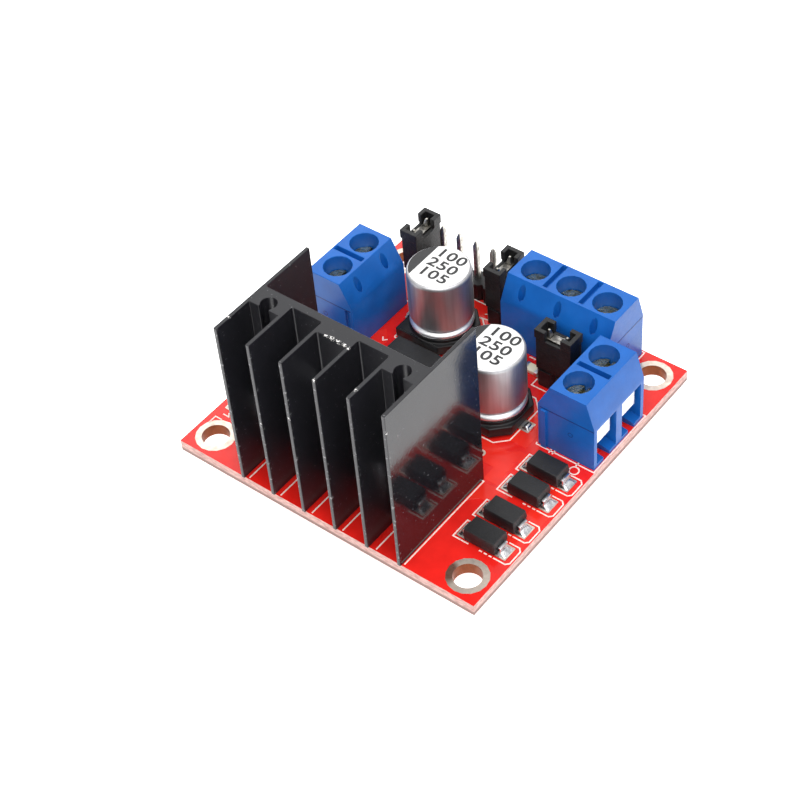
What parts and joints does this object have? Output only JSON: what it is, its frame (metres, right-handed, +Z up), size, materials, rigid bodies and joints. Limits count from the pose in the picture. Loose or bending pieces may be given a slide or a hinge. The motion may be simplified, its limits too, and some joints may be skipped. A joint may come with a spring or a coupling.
{
  "type": "dc motor driver module",
  "caption": "Square two-channel motor driver board with a finned heat sink, screw terminals, pin header, jumper caps and two round capacitors.",
  "frame": {"origin": "centre of the four mounting holes, on the board's underside", "axes": "+Z up out of the board's component side, +X along the heat sink's edge, +Y away from that edge"},
  "size_m": [0.043, 0.0432, 0.0267],
  "materials": {
    "board_lacquer": "glossy red solder mask on glass laminate",
    "tinned_land": "tin-lead plating, slightly dull",
    "solder": "bright solder",
    "black_aluminium": "black anodised, satin",
    "steel": "plated steel",
    "tinned_copper": "tinned",
    "black_moulding": "matt black moulding",
    "blue_moulding": "satin blue moulding",
    "brass": "plain brass",
    "can": "drawn aluminium, printed top",
    "gold_pins": "gold-plated",
    "chip_ceramic": "glazed black",
    "chip_tan": "fired ceramic, tan",
    "lamp": "clear resin"
  },
  "bodies": {
    "board": {"chip_capacitors": "chip_tan", "chip_resistors": "chip_ceramic", "circuit_board": "board_lacquer", "control_header_base": "black_moulding", "control_header_pins": "gold_pins", "driver_ic_body": "black_moulding", "driver_ic_leads": "tinned_copper", "driver_ic_screw": "steel", "driver_ic_tab": "tinned_copper", "enable_header_base": "black_moulding", "enable_header_pins": "gold_pins", "front_capacitor_base": "black_moulding", "front_capacitor_can": "can", "front_capacitor_leads": "tinned_copper", "heat_sink": "black_aluminium", "heat_sink_pegs": "steel", "left_diode_bodies": "black_moulding", "left_diode_leads": "tinned_copper", "left_terminal_contacts": "brass", "left_terminal_housing": "blue_moulding", "mounting_hole_plating": "tinned_land", "power_led": "lamp", "rear_capacitor_base": "black_moulding", "rear_capacitor_can": "can", "rear_capacitor_leads": "tinned_copper", "rear_terminal_contacts": "brass", "rear_terminal_housing": "blue_moulding", "regulator_body": "black_moulding", "regulator_tab": "tinned_copper", "right_diode_bodies": "black_moulding", "right_diode_leads": "tinned_copper", "right_terminal_contacts": "brass", "right_terminal_housing": "blue_moulding", "solder_joints": "solder", "supply_header_base": "black_moulding", "supply_header_pins": "gold_pins"},
    "left_clamp_1_leaf": {"left_clamp_leaf_1": "tinned_copper"},
    "left_clamp_1_screw": {"left_terminal_screw_1": "steel"},
    "left_clamp_2_leaf": {"left_clamp_leaf_2": "tinned_copper"},
    "left_clamp_2_screw": {"left_terminal_screw_2": "steel"},
    "right_clamp_1_leaf": {"right_clamp_leaf_1": "tinned_copper"},
    "right_clamp_1_screw": {"right_terminal_screw_1": "steel"},
    "right_clamp_2_leaf": {"right_clamp_leaf_2": "tinned_copper"},
    "right_clamp_2_screw": {"right_terminal_screw_2": "steel"},
    "rear_clamp_1_leaf": {"rear_clamp_leaf_1": "tinned_copper"},
    "rear_clamp_1_screw": {"rear_terminal_screw_1": "steel"},
    "rear_clamp_2_leaf": {"rear_clamp_leaf_2": "tinned_copper"},
    "rear_clamp_2_screw": {"rear_terminal_screw_2": "steel"},
    "rear_clamp_3_leaf": {"rear_clamp_leaf_3": "tinned_copper"},
    "rear_clamp_3_screw": {"rear_terminal_screw_3": "steel"},
    "left_enable_jumper": {"left_enable_jumper_cap": "black_moulding", "left_enable_jumper_clip": "gold_pins"},
    "right_enable_jumper": {"right_enable_jumper_cap": "black_moulding", "right_enable_jumper_clip": "gold_pins"},
    "supply_jumper": {"supply_jumper_cap": "black_moulding", "supply_jumper_clip": "gold_pins"}
  },
  "joints": [
    {"name": "left_clamp_1_travel", "type": "slide", "parent": "board", "child": "left_clamp_1_leaf", "axis": [0, 0, -1], "range_m": [0, 0.002]},
    {"name": "left_clamp_1_turn", "type": "hinge", "parent": "left_clamp_1_leaf", "child": "left_clamp_1_screw", "pos_m": [-0.01745, 0.00451, 0.0081], "axis": [0, 0, -1], "range_deg": [0, 1440]},
    {"name": "left_clamp_2_travel", "type": "slide", "parent": "board", "child": "left_clamp_2_leaf", "axis": [0, 0, -1], "range_m": [0, 0.002]},
    {"name": "left_clamp_2_turn", "type": "hinge", "parent": "left_clamp_2_leaf", "child": "left_clamp_2_screw", "pos_m": [-0.01745, 0.00959, 0.0081], "axis": [0, 0, -1], "range_deg": [0, 1440]},
    {"name": "right_clamp_1_travel", "type": "slide", "parent": "board", "child": "right_clamp_1_leaf", "axis": [0, 0, -1], "range_m": [0, 0.002]},
    {"name": "right_clamp_1_turn", "type": "hinge", "parent": "right_clamp_1_leaf", "child": "right_clamp_1_screw", "pos_m": [0.01745, 0.00959, 0.0081], "axis": [0, 0, -1], "range_deg": [0, 1440]},
    {"name": "right_clamp_2_travel", "type": "slide", "parent": "board", "child": "right_clamp_2_leaf", "axis": [0, 0, -1], "range_m": [0, 0.002]},
    {"name": "right_clamp_2_turn", "type": "hinge", "parent": "right_clamp_2_leaf", "child": "right_clamp_2_screw", "pos_m": [0.01745, 0.00451, 0.0081], "axis": [0, 0, -1], "range_deg": [0, 1440]},
    {"name": "rear_clamp_1_travel", "type": "slide", "parent": "board", "child": "rear_clamp_1_leaf", "axis": [0, 0, -1], "range_m": [0, 0.002]},
    {"name": "rear_clamp_1_turn", "type": "hinge", "parent": "rear_clamp_1_leaf", "child": "rear_clamp_1_screw", "pos_m": [0.00277, 0.0171, 0.0081], "axis": [0, 0, -1], "range_deg": [0, 1440]},
    {"name": "rear_clamp_2_travel", "type": "slide", "parent": "board", "child": "rear_clamp_2_leaf", "axis": [0, 0, -1], "range_m": [0, 0.002]},
    {"name": "rear_clamp_2_turn", "type": "hinge", "parent": "rear_clamp_2_leaf", "child": "rear_clamp_2_screw", "pos_m": [0.00785, 0.0171, 0.0081], "axis": [0, 0, -1], "range_deg": [0, 1440]},
    {"name": "rear_clamp_3_travel", "type": "slide", "parent": "board", "child": "rear_clamp_3_leaf", "axis": [0, 0, -1], "range_m": [0, 0.002]},
    {"name": "rear_clamp_3_turn", "type": "hinge", "parent": "rear_clamp_3_leaf", "child": "rear_clamp_3_screw", "pos_m": [0.01293, 0.0171, 0.0081], "axis": [0, 0, -1], "range_deg": [0, 1440]},
    {"name": "left_enable_jumper_pull", "type": "slide", "parent": "board", "child": "left_enable_jumper", "axis": [0, 0, 1], "range_m": [0, 0.0062]},
    {"name": "right_enable_jumper_pull", "type": "slide", "parent": "board", "child": "right_enable_jumper", "axis": [0, 0, 1], "range_m": [0, 0.0062]},
    {"name": "supply_jumper_pull", "type": "slide", "parent": "board", "child": "supply_jumper", "axis": [0, 0, 1], "range_m": [0, 0.0062]}
  ],
  "couplings": [
    {"joint": "left_clamp_1_turn", "follows": "left_clamp_1_travel", "rad_per_m": 12566},
    {"joint": "left_clamp_2_turn", "follows": "left_clamp_2_travel", "rad_per_m": 12566},
    {"joint": "right_clamp_1_turn", "follows": "right_clamp_1_travel", "rad_per_m": 12566},
    {"joint": "right_clamp_2_turn", "follows": "right_clamp_2_travel", "rad_per_m": 12566},
    {"joint": "rear_clamp_1_turn", "follows": "rear_clamp_1_travel", "rad_per_m": 12566},
    {"joint": "rear_clamp_2_turn", "follows": "rear_clamp_2_travel", "rad_per_m": 12566},
    {"joint": "rear_clamp_3_turn", "follows": "rear_clamp_3_travel", "rad_per_m": 12566}
  ]
}
